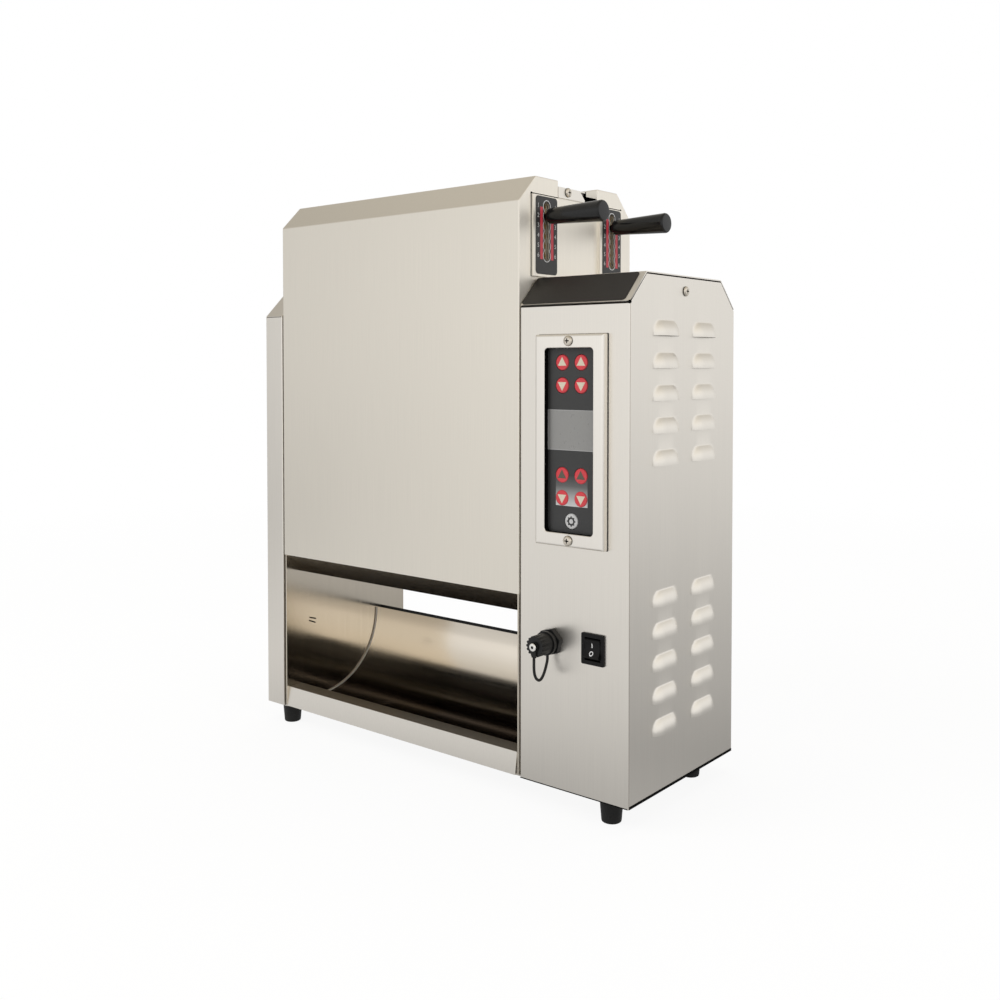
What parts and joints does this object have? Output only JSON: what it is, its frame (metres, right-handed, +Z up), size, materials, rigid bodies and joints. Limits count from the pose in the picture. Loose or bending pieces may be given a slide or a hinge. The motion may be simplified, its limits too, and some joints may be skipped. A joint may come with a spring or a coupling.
{
  "type": "vertical contact toaster",
  "caption": "Tall stainless contact toaster: bread fed from the top passes between a heated platen and two belts, then slides out of a curved chute at the front.",
  "frame": {"origin": "middle of the outer box, on the plane under the feet", "axes": "+Z up, -Y towards the user at the front, +X towards the control box"},
  "size_m": [0.531, 0.2586, 0.628],
  "materials": {
    "stainless": "brushed, fine vertical grain",
    "inner_steel": "mill finish",
    "chute_steel": "bright brushed",
    "rubber": "matt",
    "printed_plate": "satin print",
    "display": "satin",
    "black_plastic": "satin",
    "grip_plastic": "semi-gloss moulded",
    "platen_aluminium": "machined",
    "heater_steel": "sheathed",
    "release_cloth": "coated glass cloth",
    "bronze": "machined",
    "motor_grey": "satin",
    "board_green": "solder mask",
    "bright_steel": "bright",
    "belt": "silicone",
    "roller_steel": "turned",
    "gear_plastic": "moulded",
    "pinion_steel": "cut",
    "key_red": "satin print",
    "key_grey": "satin print"
  },
  "bodies": {
    "casing": {"base_pan": "inner_steel", "left_end_frame": "inner_steel", "right_end_frame": "inner_steel", "left_housing": "stainless", "control_housing": "stainless", "control_top_cover": "stainless", "control_rear_panel": "stainless", "front_cover": "stainless", "rear_cover": "stainless", "chute": "chute_steel", "front_rail": "stainless", "rear_rail": "inner_steel", "feet": "rubber", "index_plates": "printed_plate", "name_plate": "printed_plate", "control_bezel": "stainless", "keypad_overlay": "printed_plate", "display_window": "display", "rocker_frame": "black_plastic", "port_barrel": "black_plastic", "port_nut": "black_plastic", "platen": "platen_aluminium", "platen_heaters": "heater_steel", "release_sheets": "release_cloth", "platen_cap": "stainless", "shaft_bushes": "bronze", "gearmotor": "motor_grey", "control_board": "board_green", "screws": "bright_steel", "cable_gland": "black_plastic", "cap_tether": "rubber", "tether_ring": "rubber"},
    "rocker": {"rocker": "black_plastic"},
    "port_cap": {"port_cap": "black_plastic", "port_cap_screw": "bright_steel"},
    "front_lever": {"front_lever": "bright_steel", "front_lever_grip": "grip_plastic"},
    "rear_lever": {"rear_lever": "bright_steel", "rear_lever_grip": "grip_plastic"},
    "front_carriage": {"front_carriage": "bright_steel", "front_belt": "belt"},
    "rear_carriage": {"rear_carriage": "bright_steel", "rear_belt": "belt"},
    "front_drive": {"front_drive_roller": "roller_steel", "front_drive_gear": "gear_plastic"},
    "rear_drive": {"rear_drive_roller": "roller_steel", "rear_drive_gear": "gear_plastic"},
    "front_idler": {"front_idler_roller": "roller_steel"},
    "rear_idler": {"rear_idler_roller": "roller_steel"},
    "motor_pinion": {"motor_pinion": "pinion_steel"},
    "idler_gear": {"idler_gear": "gear_plastic"},
    "raise_key_left": {"raise_key_left": "key_red"},
    "raise_key_right": {"raise_key_right": "key_red"},
    "lower_key_left": {"lower_key_left": "key_red"},
    "lower_key_right": {"lower_key_right": "key_red"},
    "darker_key_left": {"darker_key_left": "key_red"},
    "darker_key_right": {"darker_key_right": "key_red"},
    "lighter_key_left": {"lighter_key_left": "key_red"},
    "lighter_key_right": {"lighter_key_right": "key_red"},
    "menu_key": {"menu_key": "key_grey"}
  },
  "joints": [
    {"name": "front_lever_slide", "type": "slide", "parent": "casing", "child": "front_lever", "axis": [0, 0, 1], "range_m": [-0.04, 0.01]},
    {"name": "rear_lever_slide", "type": "slide", "parent": "casing", "child": "rear_lever", "axis": [0, 0, 1], "range_m": [-0.04, 0.01]},
    {"name": "front_carriage_swing", "type": "hinge", "parent": "casing", "child": "front_carriage", "pos_m": [0, -0.0487, 0.229], "axis": [1, 0, 0], "range_deg": [-0.55, 2.1]},
    {"name": "rear_carriage_swing", "type": "hinge", "parent": "casing", "child": "rear_carriage", "pos_m": [0, 0.0593, 0.229], "axis": [1, 0, 0], "range_deg": [-2.1, 0.55]},
    {"name": "front_drive_turn", "type": "hinge", "parent": "casing", "child": "front_drive", "pos_m": [0, -0.0487, 0.229], "axis": [1, 0, 0], "continuous": true},
    {"name": "rear_drive_turn", "type": "hinge", "parent": "casing", "child": "rear_drive", "pos_m": [0, 0.0593, 0.229], "axis": [1, 0, 0], "continuous": true},
    {"name": "front_idler_turn", "type": "hinge", "parent": "front_carriage", "child": "front_idler", "pos_m": [0, -0.0487, 0.562], "axis": [1, 0, 0], "continuous": true},
    {"name": "rear_idler_turn", "type": "hinge", "parent": "rear_carriage", "child": "rear_idler", "pos_m": [0, 0.0593, 0.562], "axis": [1, 0, 0], "continuous": true},
    {"name": "motor_pinion_turn", "type": "hinge", "parent": "casing", "child": "motor_pinion", "pos_m": [0.1445, -0.0087, 0.229], "axis": [1, 0, 0], "continuous": true},
    {"name": "idler_gear_turn", "type": "hinge", "parent": "casing", "child": "idler_gear", "pos_m": [0.1445, 0.0193, 0.229], "axis": [1, 0, 0], "continuous": true},
    {"name": "rocker_tilt", "type": "hinge", "parent": "casing", "child": "rocker", "pos_m": [0.22, -0.0942, 0.1665], "axis": [1, 0, 0], "range_deg": [0, 18]},
    {"name": "port_cap_turn", "type": "hinge", "parent": "casing", "child": "port_cap", "pos_m": [0.171, -0.1167, 0.1665], "axis": [0, -1, 0], "range_deg": [0, 540]},
    {"name": "raise_key_left_press", "type": "slide", "parent": "casing", "child": "raise_key_left", "axis": [0, 1, 0], "range_m": [0, 0.0005], "stiffness_N_per_m": 600},
    {"name": "raise_key_right_press", "type": "slide", "parent": "casing", "child": "raise_key_right", "axis": [0, 1, 0], "range_m": [0, 0.0005], "stiffness_N_per_m": 600},
    {"name": "lower_key_left_press", "type": "slide", "parent": "casing", "child": "lower_key_left", "axis": [0, 1, 0], "range_m": [0, 0.0005], "stiffness_N_per_m": 600},
    {"name": "lower_key_right_press", "type": "slide", "parent": "casing", "child": "lower_key_right", "axis": [0, 1, 0], "range_m": [0, 0.0005], "stiffness_N_per_m": 600},
    {"name": "darker_key_left_press", "type": "slide", "parent": "casing", "child": "darker_key_left", "axis": [0, 1, 0], "range_m": [0, 0.0005], "stiffness_N_per_m": 600},
    {"name": "darker_key_right_press", "type": "slide", "parent": "casing", "child": "darker_key_right", "axis": [0, 1, 0], "range_m": [0, 0.0005], "stiffness_N_per_m": 600},
    {"name": "lighter_key_left_press", "type": "slide", "parent": "casing", "child": "lighter_key_left", "axis": [0, 1, 0], "range_m": [0, 0.0005], "stiffness_N_per_m": 600},
    {"name": "lighter_key_right_press", "type": "slide", "parent": "casing", "child": "lighter_key_right", "axis": [0, 1, 0], "range_m": [0, 0.0005], "stiffness_N_per_m": 600},
    {"name": "menu_key_press", "type": "slide", "parent": "casing", "child": "menu_key", "axis": [0, 1, 0], "range_m": [0, 0.0005], "stiffness_N_per_m": 600}
  ],
  "couplings": [
    {"joint": "front_carriage_swing", "follows": "front_lever_slide", "rad_per_m": -0.9009},
    {"joint": "rear_carriage_swing", "follows": "rear_lever_slide", "rad_per_m": 0.9009},
    {"joint": "rear_drive_turn", "follows": "front_drive_turn", "ratio": -1},
    {"joint": "motor_pinion_turn", "follows": "front_drive_turn", "ratio": -1.8571},
    {"joint": "idler_gear_turn", "follows": "front_drive_turn", "ratio": 1.8571},
    {"joint": "front_idler_turn", "follows": "front_drive_turn", "ratio": 1},
    {"joint": "rear_idler_turn", "follows": "front_drive_turn", "ratio": -1}
  ]
}
